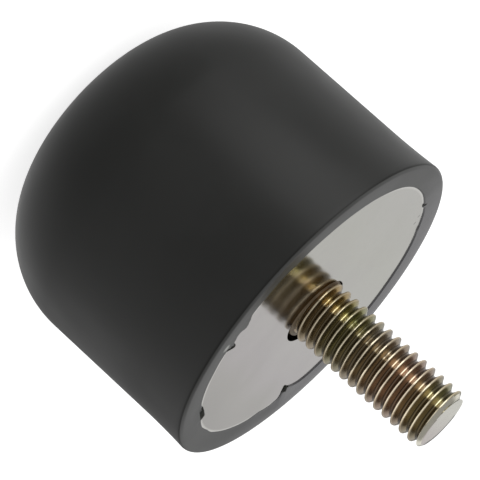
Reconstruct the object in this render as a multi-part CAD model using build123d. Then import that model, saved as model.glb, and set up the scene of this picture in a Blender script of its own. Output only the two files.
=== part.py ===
from build123d import *
import math
import os

# A round rubber buffer with one threaded stud, all sizes in millimetres.
# The origin is on the stud's axis, level with the rim's face, and +Z runs out along the stud.

# Rubber body
body_diameter = 50.8            # 2 in, at the rim
body_length = 41.3              # 1 5/8 in, rim face to buffer end
waist_draw = 0.2                # the side lies this far inside the rim, slightly below it
waist_depth = 8.0               # from the rim's face to that place
shoulder_draw = 0.05            # and this far inside the rim where it meets the rounded end
end_round = 15.5                # radius of the rounded end's corner
rim_edge_round = 0.6            # outer edge of the rim

# Rubber lip that holds the plate's edge
rim_width = 3.7                 # flat rubber rim around the plate
lip_height = 0.3                # rim face above the plate's face
flash_drop = 0.05               # the flash lies this far below the rim's face
flash_root = 0.6                # how far each tongue of flash reaches back into the lip

# Tongues of moulding flash on the plate: start, tip and end angle in degrees, reach in mm
flash_tongues = [
    (-30.0, -17.0, -15.5, 0.6),
    (-75.5, -69.0, -66.5, 1.3),
    (-64.5, -59.4, -58.4, 1.5),
    (37.0, 42.5, 47.0, 0.4),
    (52.0, 55.8, 61.0, 2.6),
    (139.0, 147.0, 153.0, 0.3),
]

# Mounting plate
plate_cover = 1.2               # width of the plate's edge under the rim
plate_thickness = 2.28          # 13 gauge sheet
plate_edge_round = 0.4
bolt_hole_diameter = 10.7       # clearance hole for the bolt, 27/64 in
bolt_hole_shift = (-0.12, 0.5)  # the hole is punched a little off centre

# Threaded stud: a 3/8-16 bolt put through the plate, its head moulded in
thread_diameter = 9.525         # 3/8 in, over the thread's crests
thread_pitch = 1.5875           # 16 threads to the inch
first_crest = 0.12              # height of the thread's first crest
bolt_side_shift = 0.45          # the bolt sits to one side of its clearance hole
stud_length = 25.4              # 1 in, under the head
neck_diameter = 8.4             # thread run-out next to the head
neck_rise = 0.05                # the thread starts this far above the plate's face
tip_chamfer = 0.8
head_across_flats = 14.29       # 9/16 in
head_height = 5.95
head_corner_angle = 30.0        # slope of the turned corners on the head

# Diameters and heights that follow from those sizes
waist_diameter = body_diameter - 2 * waist_draw
shoulder_diameter = body_diameter - 2 * shoulder_draw
lip_opening_diameter = body_diameter - 2 * rim_width
plate_diameter = lip_opening_diameter + 2 * plate_cover
plate_top = -lip_height
plate_bottom = plate_top - plate_thickness
stud_tip = plate_bottom + stud_length
thread_depth = thread_pitch * math.sqrt(3) / 2 * 5 / 8
crest_flat = thread_pitch / 8
root_flat = thread_pitch / 4
head_bottom = plate_bottom - head_height
body_bottom = -body_length
body_place = Pos(bolt_side_shift, 0, 0)


def polar(radius, degrees):
    """A point in the plane of the rim, by radius and angle."""
    angle = math.radians(degrees)
    return (radius * math.cos(angle), radius * math.sin(angle))


def body_section():
    """Half of the body's section, drawn on the XZ plane to be turned about Z."""
    rim = body_diameter / 2
    shoulder = shoulder_diameter / 2
    waist = waist_diameter / 2
    side_foot = body_bottom + end_round
    diagonal = math.sqrt(0.5)
    end_flat = shoulder - end_round
    end_corner = (end_flat + end_round * diagonal, side_foot - end_round * diagonal)
    rim_corner = (rim - rim_edge_round * (1 - diagonal), -rim_edge_round * (1 - diagonal))
    side_slope = (waist - shoulder, -waist_depth - side_foot)
    with BuildSketch(Plane.XZ) as section:
        with BuildLine():
            Line((0, 0), (0, body_bottom))
            Line((0, body_bottom), (end_flat, body_bottom))
            ThreePointArc((end_flat, body_bottom), end_corner, (shoulder, side_foot))
            Line((shoulder, side_foot), (waist, -waist_depth))
            TangentArc((waist, -waist_depth), (rim, -rim_edge_round), tangent=side_slope)
            ThreePointArc((rim, -rim_edge_round), rim_corner, (rim - rim_edge_round, 0))
            Line((rim - rim_edge_round, 0), (0, 0))
        make_face()
    return section.sketch


def flash_tongue(start, tip, end, reach):
    """One tongue of flash: hollow flanks run from the lip's edge to a point on the plate."""
    edge = lip_opening_diameter / 2
    root = edge + flash_root
    with BuildSketch(Plane.XY.offset(plate_top)) as outline:
        with BuildLine():
            Line(polar(root, start), polar(edge, start))
            Bezier(polar(edge, start), polar(edge, (start + 2 * tip) / 3), polar(edge - reach, tip))
            Bezier(polar(edge - reach, tip), polar(edge, (end + 2 * tip) / 3), polar(edge, end))
            Line(polar(edge, end), polar(root, end))
            ThreePointArc(polar(root, end), polar(root, (start + end) / 2), polar(root, start))
        make_face()
    return extrude(outline.sketch, lip_height - flash_drop)


def mounting_plate():
    """Flat steel disc with rounded edges and one clearance hole."""
    blank = Pos(0, 0, plate_bottom) * Cylinder(
        plate_diameter / 2, plate_thickness, align=(Align.CENTER, Align.CENTER, Align.MIN)
    )
    blank = fillet(blank.edges().filter_by(GeomType.CIRCLE), plate_edge_round)
    hole = Pos(*bolt_hole_shift, plate_bottom - 1) * Cylinder(
        bolt_hole_diameter / 2, plate_thickness + 2, align=(Align.CENTER, Align.CENTER, Align.MIN)
    )
    return body_place * blank, body_place * (blank - hole)


def bolt_head():
    """Hexagon head with turned corners on its far side."""
    flats_radius = head_across_flats / 2
    corner_radius = flats_radius / math.cos(math.radians(30))
    prism = Pos(0, 0, head_bottom) * extrude(
        RegularPolygon(flats_radius, 6, major_radius=False), head_height
    )
    corner_drop = (corner_radius - flats_radius) * math.tan(math.radians(head_corner_angle))
    with BuildSketch(Plane.XZ) as turned:
        with BuildLine():
            Polyline(
                (0, head_bottom),
                (flats_radius, head_bottom),
                (corner_radius, head_bottom + corner_drop),
                (corner_radius, plate_bottom),
                (0, plate_bottom),
                close=True,
            )
        make_face()
    return prism & revolve(turned.sketch, Axis.Z)


def thread_outline():
    """Points up the thread's side. It is drawn as rings one pitch apart, so the crests keep their cylinder."""
    crest_radius = thread_diameter / 2
    root_radius = crest_radius - thread_depth
    points = []
    for turn in range(math.ceil((stud_tip - first_crest) / thread_pitch) + 1):
        crest = first_crest + turn * thread_pitch
        root = crest + thread_pitch / 2
        points += [
            (crest_radius, crest - crest_flat / 2),
            (crest_radius, crest + crest_flat / 2),
            (root_radius, root - root_flat / 2),
            (root_radius, root + root_flat / 2),
        ]
    return points


def threaded_stud(head):
    """Bolt along +Z: head under the plate, neck in the hole, then the thread, with a chamfered tip."""
    neck_radius = neck_diameter / 2
    side = thread_outline()
    above_tip = side[-1][1]
    tip_radius = thread_diameter / 2 - tip_chamfer
    with BuildSketch(Plane.XZ) as section:
        with BuildLine():
            Polyline(
                (0, plate_bottom),
                (neck_radius, plate_bottom),
                (neck_radius, plate_top + neck_rise),
                *side,
                (0, above_tip),
                close=True,
            )
        make_face()
        with BuildLine():
            Polyline(
                (0, plate_bottom),
                (tip_radius + stud_length, plate_bottom),
                (tip_radius, stud_tip),
                (0, stud_tip),
                close=True,
            )
        make_face(mode=Mode.INTERSECT)
    return head + revolve(section.sketch, Axis.Z)


def rubber_body(plate_blank, head):
    """Moulded body: it wraps the plate's edge and the bolt's head, and keeps the plate's face open."""
    body = body_place * revolve(body_section(), Axis.Z)
    opening = body_place * Pos(0, 0, plate_top) * Cylinder(
        lip_opening_diameter / 2, lip_height + 1, align=(Align.CENTER, Align.CENTER, Align.MIN)
    )
    body = body - opening - plate_blank - head
    for tongue in flash_tongues:
        body = body + body_place * flash_tongue(*tongue)
    return body


blank, plate = mounting_plate()
head = bolt_head()
parts = {
    "rubber_body": rubber_body(blank, head),
    "mounting_plate": plate,
    "threaded_stud": threaded_stud(head),
}

os.makedirs("parts", exist_ok=True)
for name, solid in parts.items():
    export_step(solid, f"parts/{name}.step")
    print(name, len(solid.solids()), "solid", round(solid.volume, 1), "mm3")
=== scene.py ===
import math

import bmesh
import bpy
import numpy as np
from mathutils import Matrix, Vector


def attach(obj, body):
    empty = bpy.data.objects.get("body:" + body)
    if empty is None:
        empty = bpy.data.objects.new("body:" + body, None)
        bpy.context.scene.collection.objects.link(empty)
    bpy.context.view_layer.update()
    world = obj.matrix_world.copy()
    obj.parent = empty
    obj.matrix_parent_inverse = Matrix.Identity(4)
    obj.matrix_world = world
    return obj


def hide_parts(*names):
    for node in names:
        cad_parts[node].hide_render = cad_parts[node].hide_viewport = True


# Looks for a round rubber buffer with one threaded stud.
# Lengths are in millimetres until MM turns them to metres.
MM = 0.001

# Rubber body, the same sizes as its solid
RIM_RADIUS = 25.4
SHOULDER_RADIUS = 25.35
WAIST_RADIUS = 25.2
WAIST_Z = -8.0
BODY_END_Z = -41.3
END_ROUND = 15.5
RIM_EDGE_ROUND = 0.6
PLATE_Z = -0.3
PLATE_THICKNESS = 2.28
LIP_WORN_ANGLE = -20.0          # the lip is nearly flush with the plate round this azimuth
LIP_WORN_REACH = 72.0           # to this far either way
LIP_WORN_DEPTH = 0.26
LIP_DROP = 0.12                 # and this much lower everywhere else
BODY_X = 0.45                   # the rubber's axis is this far from the stud's

# Stud: a 3/8-16 bolt
PITCH = 1.551                   # the photograph's crests stand this far apart; the solid has 25.4 / 16
CREST_RADIUS = 4.70
ROOT_RADIUS = 3.86
STUD_TIP_Z = 22.82
THREAD_FOOT_Z = -2.3
SHANK_RADIUS = 4.85             # the bolt fills its hole to this below the plate's face
TIP_FLAT_RADIUS = 4.0
TIP_CHAMFER = 0.62
CREST_PHASE_Z = 0.55            # height of a crest at CREST_PHASE_ANGLE
CREST_PHASE_ANGLE = -90.0
HEAD_ACROSS_FLATS = 14.29
HEAD_HEIGHT = 5.95

# Edge of the rubber on the plate: angle in degrees and radius, with the flash that reaches inwards
LIP_EDGE = [
    (-180, 21.72), (-165, 21.70), (-150, 21.72), (-135, 21.70), (-120, 21.66), (-105, 21.70), (-96, 21.66),
    (-90, 21.70), (-84, 21.66), (-77, 21.70), (-75.2, 21.62), (-74.0, 21.35), (-73.0, 20.95), (-71.6, 20.75),
    (-70.4, 20.45), (-69.0, 20.35), (-68.3, 20.55), (-67.7, 21.00), (-66.6, 21.25), (-65.2, 21.28),
    (-63.6, 21.05), (-62.4, 21.00), (-61.4, 20.55), (-60.6, 20.10), (-59.6, 19.82), (-59.0, 19.82),
    (-58.7, 20.35), (-58.5, 21.05), (-58.1, 21.50), (-56.0, 21.62), (-53, 21.70), (-47, 21.66), (-40, 21.74),
    (-33, 21.70), (-29.5, 21.62), (-27.2, 21.48), (-26.0, 21.20), (-21.5, 20.89), (-16.7, 20.76),
    (-15.7, 20.86), (-15.1, 21.20), (-14.6, 21.58), (-12, 21.66), (-9, 21.74), (-7.2, 21.80), (-4.5, 21.72),
    (0.7, 21.58), (6.6, 21.73), (12, 21.68), (20, 21.66), (30, 21.70), (36, 21.62),
    (40, 21.42), (42.5, 21.32), (45, 21.50), (49, 21.62), (51.5, 21.45), (53.4, 21.30), (54.3, 20.95),
    (54.7, 20.2), (54.9, 19.3), (55.3, 18.62), (56.4, 18.85), (57.5, 19.40), (59, 19.85), (61.5, 20.50),
    (65, 21.15), (68.4, 21.48), (73, 21.66),
    (80, 21.70), (100, 21.66), (120, 21.72), (139, 21.68), (144, 21.55), (147, 21.42), (149.5, 21.60),
    (158, 21.70), (163.4, 21.64), (164.2, 21.38), (165.2, 21.34), (166.0, 21.64), (180, 21.72),
]

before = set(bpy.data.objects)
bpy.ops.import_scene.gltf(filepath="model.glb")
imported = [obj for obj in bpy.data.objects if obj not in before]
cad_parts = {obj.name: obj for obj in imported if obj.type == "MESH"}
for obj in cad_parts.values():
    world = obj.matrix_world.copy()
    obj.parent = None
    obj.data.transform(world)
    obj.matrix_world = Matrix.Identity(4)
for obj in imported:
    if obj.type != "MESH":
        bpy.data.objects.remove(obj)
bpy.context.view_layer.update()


def new_mesh_object(name, vertices, faces, smooth=True):
    """A mesh object at the origin from points in millimetres."""
    mesh = bpy.data.meshes.new(name)
    mesh.from_pydata([tuple(v) for v in np.asarray(vertices) * MM], [], faces)
    mesh.validate()
    mesh.polygons.foreach_set("use_smooth", [smooth] * len(mesh.polygons))
    mesh.update()
    made = bpy.data.objects.new(name, mesh)
    bpy.context.scene.collection.objects.link(made)
    return made


def ring_points(radius, z, count):
    """One ring of points; radius is a number or one radius a point."""
    angle = np.arange(count) * 2 * math.pi / count
    radius = np.broadcast_to(radius, count)
    return np.stack([radius * np.cos(angle), radius * np.sin(angle), np.broadcast_to(z, count)], 1)


def ring_faces(first, second, count):
    """Quads between two rings of the same count, given their first indices."""
    faces = []
    for i in range(count):
        j = (i + 1) % count
        faces.append((first + i, first + j, second + j, second + i))
    return faces


def body_profile():
    """Side and rounded end below the rim's edge, as (radius, z) pairs."""
    side_foot = BODY_END_Z + END_ROUND
    slope = np.array([WAIST_RADIUS - SHOULDER_RADIUS, WAIST_Z - side_foot])
    slope = slope / np.linalg.norm(slope)
    normal = np.array([slope[1], -slope[0]])
    waist = np.array([WAIST_RADIUS, WAIST_Z])
    rim = np.array([RIM_RADIUS, -RIM_EDGE_ROUND])
    chord = rim - waist
    flare = (chord @ chord) / (2 * (chord @ normal))
    centre = waist + normal * flare
    start = math.atan2(*(rim - centre)[::-1])
    end = math.atan2(*(waist - centre)[::-1])
    turn = (end - start + math.pi) % (2 * math.pi) - math.pi
    points = []
    for k in range(1, 13):
        angle = start + turn * k / 12
        points.append(centre + abs(flare) * np.array([math.cos(angle), math.sin(angle)]))
    for k in range(1, 15):
        points.append(waist + (np.array([SHOULDER_RADIUS, side_foot]) - waist) * k / 14)
    for k in range(1, 41):
        angle = math.radians(90 * k / 40)
        points.append((
            SHOULDER_RADIUS - END_ROUND + END_ROUND * math.cos(angle),
            side_foot - END_ROUND * math.sin(angle),
        ))
    for radius in (7.5, 5.0, 2.5):
        points.append((radius, BODY_END_Z))
    return points


def build_rubber():
    """Moulded rubber body: fine rings round the lip and rim, coarser ones down the side."""
    fine, coarse = 1440, 360
    angle = np.degrees(np.arange(fine) * 2 * math.pi / fine)
    angle = (angle + 180) % 360 - 180
    knots = np.array(LIP_EDGE)
    lip = np.interp(angle, knots[:, 0], knots[:, 1])
    wave = 0.02 * np.sin(np.radians(angle) * 11 + 1.0) + 0.015 * np.sin(np.radians(angle) * 23)
    lip = lip + wave
    vertices, faces, rings = [], [], []

    def add_ring(radius, z, count=fine):
        rings.append((sum(len(v) for v in vertices), count))
        vertices.append(ring_points(radius, z, count))

    lowered = np.interp(np.abs(angle - LIP_WORN_ANGLE), (LIP_WORN_REACH, LIP_WORN_REACH + 6), (1.0, 0.0))
    drop = LIP_DROP + (LIP_WORN_DEPTH - LIP_DROP) * lowered * lowered * (3 - 2 * lowered)
    lip_rings = (
        (-0.14, 1.0), (-0.08, 0.72), (-0.02, 0.4), (0.02, 0.18), (0.06, 0.06), (0.12, 0.013), (0.2, 0.0),
    )
    for inset, share in lip_rings:
        add_ring(lip + inset, share * PLATE_Z - (1 - share) * drop)
    for share in (0.35, 0.7):
        add_ring((lip + 0.2) * (1 - share) + 22.6 * share, -drop * (1 - 0.4 * share))
    add_ring(22.6, -drop * 0.6)
    add_ring(23.3, -drop * 0.25)
    for radius in (24.0, 24.5):
        add_ring(radius, 0.0)
    edge_centre = RIM_RADIUS - RIM_EDGE_ROUND
    for k in range(9):
        turn = math.radians(90 - 90 * k / 8)
        add_ring(
            edge_centre + RIM_EDGE_ROUND * math.cos(turn),
            -RIM_EDGE_ROUND + RIM_EDGE_ROUND * math.sin(turn),
        )
    for (a, _), (b, _) in zip(rings, rings[1:]):
        faces += ring_faces(a, b, fine)
    top = rings[-1][0]
    side = body_profile()
    add_ring(side[0][0], side[0][1], coarse)
    low = rings[-1][0]
    step = fine // coarse
    for k in range(coarse):
        a = top + step * k
        a_next = [top + (step * k + i) % fine for i in range(step + 1)]
        b, b_next = low + k, low + (k + 1) % coarse
        faces.append((a, a_next[1], b))
        faces.append((a_next[1], a_next[2], b))
        faces.append((a_next[2], b_next, b))
        faces.append((a_next[2], a_next[3], b_next))
        faces.append((a_next[3], a_next[4], b_next))
    for radius, z in side[1:]:
        last = rings[-1][0]
        add_ring(radius, z, coarse)
        faces += ring_faces(last, rings[-1][0], coarse)
    last = rings[-1][0]
    centre = sum(len(v) for v in vertices)
    vertices.append(np.array([[0.0, 0.0, BODY_END_Z]]))
    for k in range(coarse):
        faces.append((last + k, last + (k + 1) % coarse, centre))
    faces = [tuple(reversed(f)) for f in faces]
    return new_mesh_object("buffer_rubber", np.concatenate(vertices) + np.array([BODY_X, 0, 0]), faces)


def thread_section():
    """One turn of thread as (share of the pitch, radius), crest to crest, with rounded crest and root."""
    half = [
        (0.0, CREST_RADIUS),
        (0.045, CREST_RADIUS - 0.005),
        (0.07, CREST_RADIUS - 0.024),
        (0.09, CREST_RADIUS - 0.065),
        (0.15, CREST_RADIUS - 0.25),
        (0.24, CREST_RADIUS - 0.47),
        (0.33, CREST_RADIUS - 0.69),
        (0.40, ROOT_RADIUS + 0.05),
        (0.44, ROOT_RADIUS + 0.012),
        (0.48, ROOT_RADIUS),
    ]
    return half + [(1 - t, r) for t, r in reversed(half[1:])]


def build_stud():
    """Bolt with a rolled right-hand thread and chamfered tip; its neck and head lie below the plate."""
    count = 192
    section = thread_section()
    turns_low = math.floor((THREAD_FOOT_Z - CREST_PHASE_Z) / PITCH) - 1
    turns_high = math.ceil((STUD_TIP_Z - CREST_PHASE_Z) / PITCH) + 1
    steps = [(k + t, r) for k in range(turns_low, turns_high) for t, r in section[:-1]]
    angle = np.arange(count + 1) * 2 * math.pi / count
    turn = (angle - math.radians(CREST_PHASE_ANGLE)) / (2 * math.pi)
    rows = []
    for share, radius in steps:
        z = CREST_PHASE_Z + PITCH * (share + turn)
        wear = 0.012 * np.sin(3 * angle + 7 * z) * np.sin(1.7 * z) + 0.008 * np.sin(11 * angle + 2.3 * z)
        r = radius + wear * (radius - ROOT_RADIUS) / (CREST_RADIUS - ROOT_RADIUS)
        z = np.where(z > STUD_TIP_Z - 0.03, STUD_TIP_Z, z)
        below = np.clip((STUD_TIP_Z - z) / TIP_CHAMFER, 0, 1)
        limit = TIP_FLAT_RADIUS + (CREST_RADIUS - TIP_FLAT_RADIUS) * (1 - (1 - below) ** 1.6)
        limit = limit + 0.05 * (1 - below) * np.sin(5 * angle + 0.6) * np.sin(3 * angle)
        r = np.where(below > 0, np.minimum(r, limit), limit)
        sunk = np.clip((PLATE_Z - 0.03 - z) / 0.06, 0, 1)
        r = r + (SHANK_RADIUS - r) * sunk
        z = np.clip(z, THREAD_FOOT_Z, STUD_TIP_Z)
        rows.append(np.stack([r * np.cos(angle), r * np.sin(angle), z], 1))
    width = count + 1
    for radius in (3.2, 1.6):
        rows.append(np.stack([radius * np.cos(angle), radius * np.sin(angle), np.full(width, STUD_TIP_Z)], 1))
    faces = []
    for i in range(len(rows) - 1):
        for j in range(count):
            a, b = i * width + j, (i + 1) * width + j
            faces.append((a, a + 1, b + 1, b))
    vertices = np.concatenate(rows + [np.array([[0.0, 0.0, STUD_TIP_Z]])])
    tip = len(vertices) - 1
    last = (len(rows) - 1) * width
    for j in range(count):
        faces.append((last + j, last + j + 1, tip))
    plate_foot = PLATE_Z - PLATE_THICKNESS
    neck = len(vertices)
    shank_x, shank_y = SHANK_RADIUS * np.cos(angle), SHANK_RADIUS * np.sin(angle)
    shank = np.stack([shank_x, shank_y, np.full(width, THREAD_FOOT_Z)], 1)
    foot = np.stack([shank_x, shank_y, np.full(width, plate_foot)], 1)
    vertices = np.concatenate([vertices, foot, shank])
    for j in range(count):
        a, b = neck + j, neck + width + j
        faces.append((a, a + 1, b + 1, b))
    corner = HEAD_ACROSS_FLATS / 2 / math.cos(math.radians(30))
    head = len(vertices)
    turned = np.radians(np.arange(6) * 60 + 30)
    upper = np.stack([corner * np.cos(turned), corner * np.sin(turned), np.full(6, plate_foot - 0.01)], 1)
    lower = upper - np.array([0, 0, HEAD_HEIGHT - 0.02])
    vertices = np.concatenate([vertices, upper, lower])
    faces.append(tuple(range(head, head + 6)))
    faces.append(tuple(range(head + 11, head + 5, -1)))
    for k in range(6):
        a, b = head + k, head + (k + 1) % 6
        faces.append((b, a, a + 6, b + 6))
    return vertices, faces


def weld(made, distance):
    """Joins points that lie together and drops faces with no area."""
    work = bmesh.new()
    work.from_mesh(made.data)
    bmesh.ops.remove_doubles(work, verts=work.verts, dist=distance)
    bmesh.ops.dissolve_degenerate(work, edges=work.edges, dist=distance)
    work.to_mesh(made.data)
    work.free()
    made.data.update()


class Nodes:
    """Short calls for adding and joining shader nodes."""

    def __init__(self, tree):
        self.tree = tree

    def add(self, kind, **values):
        node = self.tree.nodes.new(kind)
        for key, value in values.items():
            setattr(node, key, value)
        return node

    def join(self, source, target):
        self.tree.links.new(source, target)

    def maths(self, operation, first, second=None, clamp=False):
        node = self.add("ShaderNodeMath", operation=operation, use_clamp=clamp)
        for socket, value in zip(node.inputs, (first, second)):
            if isinstance(value, (int, float)):
                socket.default_value = value
            elif value is not None:
                self.join(value, socket)
        return node.outputs[0]

    def position(self):
        """The surface point in metres, in the object's own frame, as (vector, x, y, z)."""
        place = self.add("ShaderNodeTexCoord").outputs["Object"]
        split = self.add("ShaderNodeSeparateXYZ")
        self.join(place, split.inputs[0])
        return place, split.outputs[0], split.outputs[1], split.outputs[2]

    def noise(self, place, scale, detail=3.0, roughness=0.5, stretch=None):
        if stretch:
            mapping = self.add("ShaderNodeMapping")
            mapping.inputs["Scale"].default_value = stretch
            self.join(place, mapping.inputs["Vector"])
            place = mapping.outputs[0]
        node = self.add("ShaderNodeTexNoise")
        node.inputs["Scale"].default_value = scale
        node.inputs["Detail"].default_value = detail
        node.inputs["Roughness"].default_value = roughness
        self.join(place, node.inputs["Vector"])
        return node.outputs["Fac"]

    def span(self, value, low, high, to_low=0.0, to_high=1.0, smooth=True):
        node = self.add("ShaderNodeMapRange")
        node.interpolation_type = "SMOOTHSTEP" if smooth else "LINEAR"
        node.inputs["From Min"].default_value = low
        node.inputs["From Max"].default_value = high
        node.inputs["To Min"].default_value = to_low
        node.inputs["To Max"].default_value = to_high
        self.join(value, node.inputs["Value"])
        return node.outputs[0]

    def blend(self, share, first, second):
        """Mixes two colours, each a tuple or a socket."""
        node = self.add("ShaderNodeMix", data_type="RGBA")
        sockets = [i for i in node.inputs if i.type == "RGBA"]
        if isinstance(share, (int, float)):
            node.inputs[0].default_value = share
        else:
            self.join(share, node.inputs[0])
        for socket, value in zip(sockets, (first, second)):
            if isinstance(value, tuple):
                socket.default_value = (*value, 1)
            else:
                self.join(value, socket)
        return [o for o in node.outputs if o.type == "RGBA"][0]

    def multiply(self, share, first, second):
        """Multiplies a colour socket by a second colour, a tuple or a socket, as far as share says."""
        node = self.add("ShaderNodeMix", data_type="RGBA", blend_type="MULTIPLY")
        sockets = [i for i in node.inputs if i.type == "RGBA"]
        if isinstance(share, (int, float)):
            node.inputs[0].default_value = share
        else:
            self.join(share, node.inputs[0])
        self.join(first, sockets[0])
        if isinstance(second, tuple):
            sockets[1].default_value = (*second, 1)
        else:
            self.join(second, sockets[1])
        return [o for o in node.outputs if o.type == "RGBA"][0]

    def distance(self, place, x, y, z):
        """Distance from a surface point to a point given in millimetres."""
        node = self.add("ShaderNodeVectorMath", operation="DISTANCE")
        self.join(place, node.inputs[0])
        node.inputs[1].default_value = (x * MM, y * MM, z * MM)
        return node.outputs["Value"]

    def radius(self, x, y):
        """Distance from the stud's axis."""
        squares = self.maths("ADD", self.maths("MULTIPLY", x, x), self.maths("MULTIPLY", y, y))
        return self.maths("SQRT", squares)

    def facing_up(self):
        """The object-space normal's part along +Z."""
        split = self.add("ShaderNodeSeparateXYZ")
        self.join(self.add("ShaderNodeTexCoord").outputs["Normal"], split.inputs[0])
        return split.outputs[2]

    def ramp(self, share, stops):
        node = self.add("ShaderNodeValToRGB")
        ramp = node.color_ramp
        while len(ramp.elements) < len(stops):
            ramp.elements.new(0.5)
        for element, (place, colour) in zip(ramp.elements, stops):
            element.position = place
            element.color = (*colour, 1)
        self.join(share, node.inputs[0])
        return node.outputs[0]

    def bump(self, height, strength, distance, shader):
        node = self.add("ShaderNodeBump")
        node.inputs["Strength"].default_value = strength
        node.inputs["Distance"].default_value = distance
        self.join(height, node.inputs["Height"])
        self.join(node.outputs[0], shader.inputs["Normal"])


def principled(name, roughness, metallic=0.0, specular=0.5):
    material = bpy.data.materials.new(name)
    material.use_nodes = True
    shader = material.node_tree.nodes["Principled BSDF"]
    shader.inputs["Roughness"].default_value = roughness
    shader.inputs["Metallic"].default_value = metallic
    shader.inputs["Specular IOR Level"].default_value = specular
    return material, shader, Nodes(material.node_tree)


def rubber_material():
    """Moulded black rubber: faint cloudy bloom, fine grain."""
    material, shader, n = principled("rubber_moulded", 0.42, specular=0.22)
    place, *_ = n.position()
    cloud = n.noise(place, 90.0, detail=2.0)
    colour = n.blend(n.span(cloud, 0.35, 0.7), (0.0085, 0.0088, 0.0078), (0.0125, 0.0128, 0.0118))
    n.join(colour, shader.inputs["Base Color"])
    n.join(n.span(cloud, 0.3, 0.7, 0.39, 0.46), shader.inputs["Roughness"])
    grain = n.noise(place, 4200.0, detail=4.0, roughness=0.6)
    n.bump(grain, 0.12, 0.00004, shader)
    return material


# Painted shade, nearly black, in the corners of the flash: x, y and size. One pale spot of painted highlight
# lies beside it.
PAINTED_SHADE_SPOTS = (
    (19.62, -8.93, 0.42),
    (19.92, -8.26, 0.44),
    (20.20, -7.58, 0.46),
    (20.45, -6.89, 0.46),
    (20.68, -6.18, 0.44),
    (10.70, -17.60, 0.60),
    (11.15, -18.10, 0.50),
    (11.25, 15.35, 0.62),
    (11.40, 16.15, 0.62),
    (10.85, 16.20, 0.50),
    (-20.62, 5.52, 0.26),
)
PAINTED_HIGHLIGHT_SPOT = (11.35, -19.7, 0.85)
# Small dark marks on the plate near its edge: x and y
PLATE_MARKS = ((-18.95, 7.57), (-17.91, 8.51))


def rim_material():
    """The rim's face: the same rubber, flatter, and a lighter grey where it faces up (partly a dusty matt
    finish, partly painted light), with a painted sheen towards the far side.
    """
    material, shader, n = principled("rubber_rim", 0.36, specular=0.5)
    place, x, y, z = n.position()
    cloud = n.noise(place, 160.0, detail=3.0)
    # Painted sheen: a lighter, bluish grey towards the far side, which is also glossier.
    round_to = n.maths("SUBTRACT", n.maths("MULTIPLY", y, 42.0), n.maths("MULTIPLY", x, 12.0))
    far_side_sheen = n.span(n.maths("ADD", round_to, n.maths("MULTIPLY", cloud, 0.4)), 0.2, 1.2)
    # The rim's grey, lighter than the side's, is partly a dusty matt finish and partly painted light on faces
    # that turn up.
    colour = n.blend(n.span(cloud, 0.3, 0.7), (0.050, 0.051, 0.049), (0.063, 0.064, 0.062))
    colour = n.blend(far_side_sheen, colour, (0.106, 0.103, 0.109))
    # Painted highlight: a pale spot where a small facet of the flash catches the light.
    spot_x, spot_y, spot_size = PAINTED_HIGHLIGHT_SPOT
    painted_highlight = n.span(n.distance(place, spot_x, spot_y, 0), 0.3 * spot_size * MM, spot_size * MM, 1.0, 0.0)
    colour = n.blend(painted_highlight, colour, (0.42, 0.43, 0.40))
    # Painted light: where the faces turn away from up, the lighter grey fades back to the side's dark colour.
    turned = n.span(n.facing_up(), 0.35, 0.9, 1.0, 0.0)
    colour = n.blend(turned, colour, (0.022, 0.022, 0.020))
    n.join(colour, shader.inputs["Base Color"])
    n.join(n.span(far_side_sheen, 0.0, 1.0, 0.40, 0.24, smooth=False), shader.inputs["Roughness"])
    grain = n.noise(place, 3000.0, detail=4.0, roughness=0.6)
    n.bump(grain, 0.15, 0.00004, shader)
    return material


def painted_shade_material():
    """Painted shade in the corners of the flash: dull and nearly black."""
    material, shader, n = principled("rubber_painted_shade", 0.7, specular=0.1)
    place, *_ = n.position()
    cloud = n.noise(place, 1500.0, detail=3.0)
    colour = n.blend(n.span(cloud, 0.3, 0.7), (0.006, 0.007, 0.004), (0.034, 0.034, 0.026))
    n.join(colour, shader.inputs["Base Color"])
    n.bump(cloud, 0.3, 0.00005, shader)
    return material


def plate_material():
    """Clear zinc plating: pale grey, a little green to one side and pink to the other."""
    material, shader, n = principled("zinc_plate", 0.2, metallic=1.0)
    place, x, y, z = n.position()
    drift = n.noise(place, 70.0, detail=2.0)
    across = n.maths("ADD", n.maths("MULTIPLY", x, 22.0), n.maths("MULTIPLY", drift, 0.3))
    tint = n.ramp(n.span(across, -0.35, 0.65, smooth=False), [
        (0.0, (0.510, 0.500, 0.468)),
        (0.3, (0.500, 0.496, 0.445)),
        (0.55, (0.490, 0.470, 0.450)),
        (0.73, (0.445, 0.418, 0.412)),
        (0.85, (0.395, 0.380, 0.355)),
        (1.0, (0.365, 0.352, 0.330)),
    ])
    fine = n.noise(place, 900.0, detail=4.0, roughness=0.6)
    tint = n.blend(n.span(fine, 0.35, 0.75, 0.0, 0.08), tint, (0.36, 0.35, 0.33))
    # Painted highlight: a pale line on the plate along the rubber's edge.
    reach = n.distance(place, BODY_X, 0, PLATE_Z)
    tint = n.blend(n.span(reach, 0.0211, 0.0215, 0.0, 0.8), tint, (0.70, 0.69, 0.65))
    for mark_x, mark_y in PLATE_MARKS:
        away = n.distance(place, mark_x, mark_y, PLATE_Z)
        tint = n.blend(n.span(away, 0.0001, 0.0004, 0.5, 0.0), tint, (0.10, 0.10, 0.09))
    # Painted shade: the hole's wall goes nearly black on the +x side, where the gap round the stud lies in
    # shadow.
    hole_wall_shade = n.span(z, MM * (PLATE_Z - 0.12), MM * (PLATE_Z - 0.03), 1.0, 0.0)
    hole_wall_shade = n.maths("MULTIPLY", hole_wall_shade, n.span(x, 0.0015, 0.0035))
    n.join(n.blend(hole_wall_shade, tint, (0.012, 0.010, 0.008)), shader.inputs["Base Color"])
    n.join(n.span(drift, 0.3, 0.7, 0.11, 0.17), shader.inputs["Roughness"])
    n.bump(n.noise(place, 2500.0, detail=3.0), 0.05, 0.00003, shader)
    return material


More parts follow.
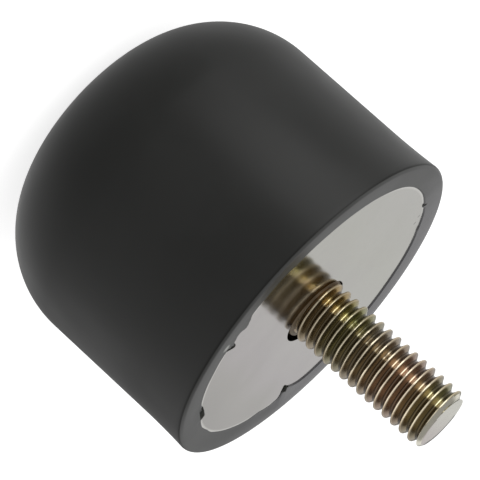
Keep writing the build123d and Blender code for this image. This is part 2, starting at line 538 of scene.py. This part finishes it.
def stud_material():
    """Yellow zinc plating: its colour drifts along and round the stud. The grooves are brown, their roots
    darker, partly dirt and partly painted shade; painted shade also darkens the flanks that face down, the
    sides and the crests on the lamp's side.
    """
    material, shader, n = principled("yellow_zinc", 0.27, metallic=1.0)
    place, x, y, z = n.position()
    drift = n.noise(place, 230.0, detail=2.0)
    along = n.maths("ADD", n.maths("MULTIPLY", z, 1000 / STUD_TIP_Z), n.maths("MULTIPLY", drift, 0.12))
    tint = n.ramp(n.maths("SUBTRACT", along, 0.06), [
        (0.0, (0.52, 0.43, 0.28)),
        (0.13, (0.50, 0.43, 0.29)),
        (0.24, (0.44, 0.43, 0.26)),
        (0.38, (0.48, 0.43, 0.32)),
        (0.50, (0.50, 0.42, 0.29)),
        (0.63, (0.54, 0.41, 0.31)),
        (0.74, (0.54, 0.41, 0.31)),
        (0.86, (0.50, 0.44, 0.28)),
        (1.0, (0.50, 0.45, 0.31)),
    ])
    bright = n.ramp(n.maths("SUBTRACT", along, 0.06), [
        (0.0, (0.68, 0.50, 0.20)),
        (0.12, (0.66, 0.52, 0.20)),
        (0.20, (0.48, 0.50, 0.20)),
        (0.30, (0.48, 0.49, 0.25)),
        (0.42, (0.50, 0.46, 0.38)),
        (0.56, (0.52, 0.43, 0.31)),
        (0.68, (0.55, 0.40, 0.32)),
        (0.80, (0.51, 0.42, 0.32)),
        (0.90, (0.48, 0.49, 0.29)),
        (1.0, (0.50, 0.50, 0.33)),
    ])
    patch = n.noise(place, 900.0, detail=2.0, roughness=0.6)
    ragged = n.maths("ADD", x, n.maths("MULTIPLY", n.maths("SUBTRACT", patch, 0.5), 0.004))
    side = n.span(ragged, -0.0034, -0.0009, 1.0, 0.0)
    tint = n.blend(side, tint, bright)
    reach = n.radius(x, y)
    # The grooves' roots are darker, partly dirt and partly painted shade; where the glint mask below lets
    # them keep their full colour, the soft box's glint shows.
    dim = n.blend(n.span(reach, 0.00390, 0.00402), (0.20, 0.18, 0.16), (0.92, 0.90, 0.88))
    glint = n.maths("MULTIPLY", n.span(x, -0.0027, -0.0021), n.span(x, -0.0012, -0.0008, 1.0, 0.0))
    glint = n.maths("MULTIPLY", glint, n.span(n.noise(place, 420.0, detail=2.0), 0.36, 0.5))
    dim = n.blend(glint, dim, (1.0, 1.0, 0.95))
    # Painted shade: flanks that face down are darker, except close to the plate.
    under = n.blend(n.span(z, 0.0003, 0.0012), (1.0, 0.90, 0.76), (0.32, 0.29, 0.26))
    dim = n.blend(n.span(n.facing_up(), -0.55, -0.15, 1.0, 0.0), dim, under)
    lowered = n.multiply(1.0, tint, dim)
    # Painted shade: the crests on the soft box's side (-x) are dimmed, so its highlight there stays pale
    # cream.
    lamp_side_crest_shade = n.maths("MULTIPLY", n.span(x, -0.0032, -0.0022), n.span(x, -0.0012, -0.0004, 1.0, 0.0))
    crest = n.blend(0.35, n.blend(lamp_side_crest_shade, (0.86, 0.76, 0.58), (0.42, 0.37, 0.28)), tint)
    colour = n.blend(n.span(reach, 0.00452, 0.00463), lowered, crest)
    # Painted shade: darker towards the stud's sides at +x and -x.
    colour = n.multiply(n.span(n.maths("ABSOLUTE", x), 0.0022, 0.0040), colour, (0.66, 0.62, 0.58))
    n.join(colour, shader.inputs["Base Color"])
    fine = n.noise(place, 1500.0, detail=4.0, roughness=0.65)
    n.join(n.span(fine, 0.3, 0.7, 0.17, 0.27), shader.inputs["Roughness"])
    n.bump(fine, 0.12, 0.00004, shader)
    return material


def foot_material():
    """The stud in the mouth of its hole: dull brown, out of the light."""
    material, shader, n = principled("zinc_foot", 0.5, specular=0.3)
    place, *_ = n.position()
    cloud = n.noise(place, 600.0, detail=3.0)
    colour = n.blend(n.span(cloud, 0.3, 0.7), (0.17, 0.13, 0.085), (0.24, 0.19, 0.13))
    n.join(colour, shader.inputs["Base Color"])
    n.bump(cloud, 0.2, 0.00005, shader)
    return material


def tip_material():
    """The stud's cut end: paler, flatter plating."""
    material, shader, n = principled("zinc_tip", 0.18, metallic=1.0)
    place, x, y, z = n.position()
    cloud = n.noise(place, 350.0, detail=3.0)
    ragged = n.maths("ADD", x, n.maths("MULTIPLY", n.maths("SUBTRACT", cloud, 0.5), 0.004))
    side = n.span(ragged, -0.002, 0.003)
    colour = n.blend(side, (0.70, 0.69, 0.60), (0.57, 0.51, 0.47))
    reach = n.radius(x, y)
    colour = n.blend(n.span(reach, 0.00396, 0.00404), colour, (0.92, 0.88, 0.74))
    n.join(colour, shader.inputs["Base Color"])
    n.bump(n.noise(place, 700.0, detail=3.0), 0.25, 0.0001, shader)
    return material


body = build_rubber()
body.data.materials.append(rubber_material())
body.data.materials.append(rim_material())
body.data.materials.append(painted_shade_material())
finish = []
for polygon in body.data.polygons:
    x, y, z = polygon.center / MM
    if math.hypot(x - BODY_X, y) < 24.9:
        on_rim = z > 1.01 * PLATE_Z
    else:
        on_rim = z > -RIM_EDGE_ROUND and polygon.normal.z > 0.5
    # Faces inside the painted shade spots take the nearly black third slot.
    in_painted_shade = on_rim and any(math.hypot(x - a, y - b) < size for a, b, size in PAINTED_SHADE_SPOTS)
    finish.append(2 if in_painted_shade else 1 if on_rim else 0)
body.data.polygons.foreach_set("material_index", finish)
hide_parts("rubber_body")
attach(body, "root")

stud_vertices, stud_faces = build_stud()
stud = new_mesh_object("stud_thread", stud_vertices, stud_faces)
weld(stud, 0.0005 * MM)
stud.data.materials.append(stud_material())
stud.data.materials.append(tip_material())
stud.data.materials.append(foot_material())
finish = []
for polygon in stud.data.polygons:
    z = polygon.center.z / MM
    at_tip = z > STUD_TIP_Z - 0.6 and polygon.normal.z > 0.5
    finish.append(1 if at_tip else 2 if z < PLATE_Z + 0.06 else 0)
stud.data.polygons.foreach_set("material_index", finish)
stud.data.set_sharp_from_angle(angle=math.radians(35))
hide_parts("threaded_stud")
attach(stud, "root")

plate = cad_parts["mounting_plate"]
plate.data.materials.clear()
plate.data.materials.append(plate_material())

# The studio as a reflection shows it: azimuth, reach in degrees and change of level round STUDIO_BASE
STUDIO_BASE = 0.46
STUDIO_LOBES = ((-12, 60, 0.28), (57, 52, -0.50))
SKY_LEVEL = 0.92
ZENITH_LEVEL = 0.36
LOW_SKY_EXTRA = 0.15            # the low sky is this much brighter than the studio's plain level
FLOOR_EXTRA = 0.5               # the floor is this much brighter than the low sky in a reflection
FLOOR_NEAR_SHARE = 0.80         # and this share of that close to the object
FILL_LEVEL = 0.88               # plain light from the sky on matt surfaces


def studio_level(n, space):
    """Level of the floor and sky in a reflection, by azimuth round the object."""
    flat = n.add("ShaderNodeVectorMath", operation="MULTIPLY")
    n.join(n.add("ShaderNodeTexCoord").outputs[space], flat.inputs[0])
    flat.inputs[1].default_value = (1, 1, 0)
    aim = n.add("ShaderNodeVectorMath", operation="NORMALIZE")
    n.join(flat.outputs[0], aim.inputs[0])
    level = STUDIO_BASE
    for azimuth, reach, change in STUDIO_LOBES:
        turned = n.add("ShaderNodeVectorMath", operation="DOT_PRODUCT")
        n.join(aim.outputs[0], turned.inputs[0])
        a = math.radians(azimuth)
        turned.inputs[1].default_value = (math.cos(a), math.sin(a), 0)
        share = n.span(turned.outputs["Value"], math.cos(math.radians(reach)), 1.0)
        level = n.maths("ADD", n.maths("MULTIPLY", share, change), level)
    return n.maths("MAXIMUM", level, 0.0)


# Floor: white to the camera, and it keeps the object's shadow
floor_z = BODY_END_Z - 0.02
floor = new_mesh_object(
    "floor",
    [(-4000, -4000, floor_z), (4000, -4000, floor_z), (4000, 4000, floor_z), (-4000, 4000, floor_z)],
    [(0, 1, 2, 3)],
    smooth=False,
)
floor_material = bpy.data.materials.new("floor_white")
floor_material.use_nodes = True
n = Nodes(floor_material.node_tree)
n.tree.nodes.clear()
path = n.add("ShaderNodeLightPath")
mirrored = n.maths("MAXIMUM", path.outputs["Is Glossy Ray"], path.outputs["Is Transmission Ray"])
reach = n.add("ShaderNodeVectorMath", operation="LENGTH")
n.join(n.add("ShaderNodeTexCoord").outputs["Object"], reach.inputs[0])
# Painted shadow: in reflections the floor is an emission, dimmed close to the object.
near = n.span(reach.outputs["Value"], 0.05, 0.11, FLOOR_NEAR_SHARE, 1.0)
mirror_level = n.maths("MULTIPLY", n.maths("ADD", studio_level(n, "Object"), FLOOR_EXTRA), near)
matte = n.add("ShaderNodeBsdfDiffuse")
matte.inputs["Color"].default_value = (0.6, 0.6, 0.6, 1)
glow = n.add("ShaderNodeEmission")
n.join(n.maths("MULTIPLY", path.outputs["Is Camera Ray"], 0.80), glow.inputs["Strength"])
both = n.add("ShaderNodeAddShader")
n.join(matte.outputs[0], both.inputs[0])
n.join(glow.outputs[0], both.inputs[1])
mirror = n.add("ShaderNodeEmission")
n.join(mirror_level, mirror.inputs["Strength"])
chosen = n.add("ShaderNodeMixShader")
n.join(mirrored, chosen.inputs[0])
n.join(both.outputs[0], chosen.inputs[1])
n.join(mirror.outputs[0], chosen.inputs[2])
n.join(chosen.outputs[0], n.add("ShaderNodeOutputMaterial").inputs["Surface"])
floor.data.materials.append(floor_material)

# World: white behind the object, plain light on it
world = bpy.data.worlds.new("studio")
bpy.context.scene.world = world
world.use_nodes = True
n = Nodes(world.node_tree)
n.tree.nodes.clear()
path = n.add("ShaderNodeLightPath")
mirrored = n.maths("MAXIMUM", path.outputs["Is Glossy Ray"], path.outputs["Is Transmission Ray"])
heading = n.add("ShaderNodeSeparateXYZ")
n.join(n.add("ShaderNodeTexCoord").outputs["Generated"], heading.inputs[0])
low_sky = n.span(heading.outputs[2], 0.02, 0.18, 1.0, 0.0)
high_level = n.span(heading.outputs[2], 0.38, 0.64, SKY_LEVEL, ZENITH_LEVEL)
glossy_level = n.maths(
    "ADD",
    n.maths("MULTIPLY", low_sky, n.maths("ADD", studio_level(n, "Generated"), LOW_SKY_EXTRA)),
    n.maths("MULTIPLY", n.maths("SUBTRACT", 1.0, low_sky), high_level),
)
level = n.maths(
    "ADD",
    n.maths("MULTIPLY", mirrored, glossy_level),
    n.maths("MULTIPLY", n.maths("SUBTRACT", 1.0, mirrored), FILL_LEVEL),
)
seen = path.outputs["Is Camera Ray"]
level = n.maths("ADD", n.maths("MULTIPLY", n.maths("SUBTRACT", 1.0, seen), level), seen)
background = n.add("ShaderNodeBackground")
n.join(level, background.inputs["Strength"])
n.join(background.outputs[0], n.add("ShaderNodeOutputWorld").inputs["Surface"])


def area_light(name, azimuth, distance, height, width, tall, radiance, aim_z=-12.0):
    """A soft box that stands round the object and faces it."""
    data = bpy.data.lights.new(name, "AREA")
    data.shape = "RECTANGLE"
    data.size = width * MM
    data.size_y = tall * MM
    data.energy = radiance * math.pi * data.size * data.size_y
    lamp = bpy.data.objects.new(name, data)
    a = math.radians(azimuth)
    place = Vector((distance * math.cos(a), distance * math.sin(a), height)) * MM
    lamp.location = place
    lamp.rotation_mode = "QUATERNION"
    lamp.rotation_quaternion = (Vector((0, 0, aim_z)) * MM - place).to_track_quat("-Z", "Y")
    lamp.visible_camera = False
    bpy.context.scene.collection.objects.link(lamp)
    return lamp


area_light("soft_box", -139, 88, 0, 54, 84, 2.3, aim_z=0)

# Camera at the photograph's angle
CAMERA_DISTANCE = 320.0
FOCAL_PIXELS = 2379.06
ELEVATION = math.radians(17.561)
ROLL = math.radians(132.083)
CENTRE_PIXEL = (315.357, 312.588)
towards = Vector((0, -math.cos(ELEVATION), math.sin(ELEVATION)))
forward = -towards
up = (Vector((0, 0, 1)) - forward * forward.z).normalized()
right = forward.cross(up)
image_right = right * math.cos(ROLL) + up * math.sin(ROLL)
image_down = right * math.sin(ROLL) - up * math.cos(ROLL)
offset = [(c - 240) / FOCAL_PIXELS * CAMERA_DISTANCE for c in CENTRE_PIXEL]
camera_data = bpy.data.cameras.new("camera")
camera_data.sensor_width = 36
camera_data.lens = FOCAL_PIXELS / 480 * 36
camera_data.clip_start = 0.01
camera_data.clip_end = 20
camera = bpy.data.objects.new("camera", camera_data)
bpy.context.scene.collection.objects.link(camera)
place = towards * CAMERA_DISTANCE - image_right * offset[0] - image_down * offset[1] + Vector((BODY_X, 0, 0))
turn = Matrix((image_right, -image_down, -forward)).transposed()
camera.matrix_world = Matrix.Translation(place * MM) @ turn.to_4x4()
bpy.context.scene.camera = camera

bpy.context.scene.view_settings.view_transform = "Standard"
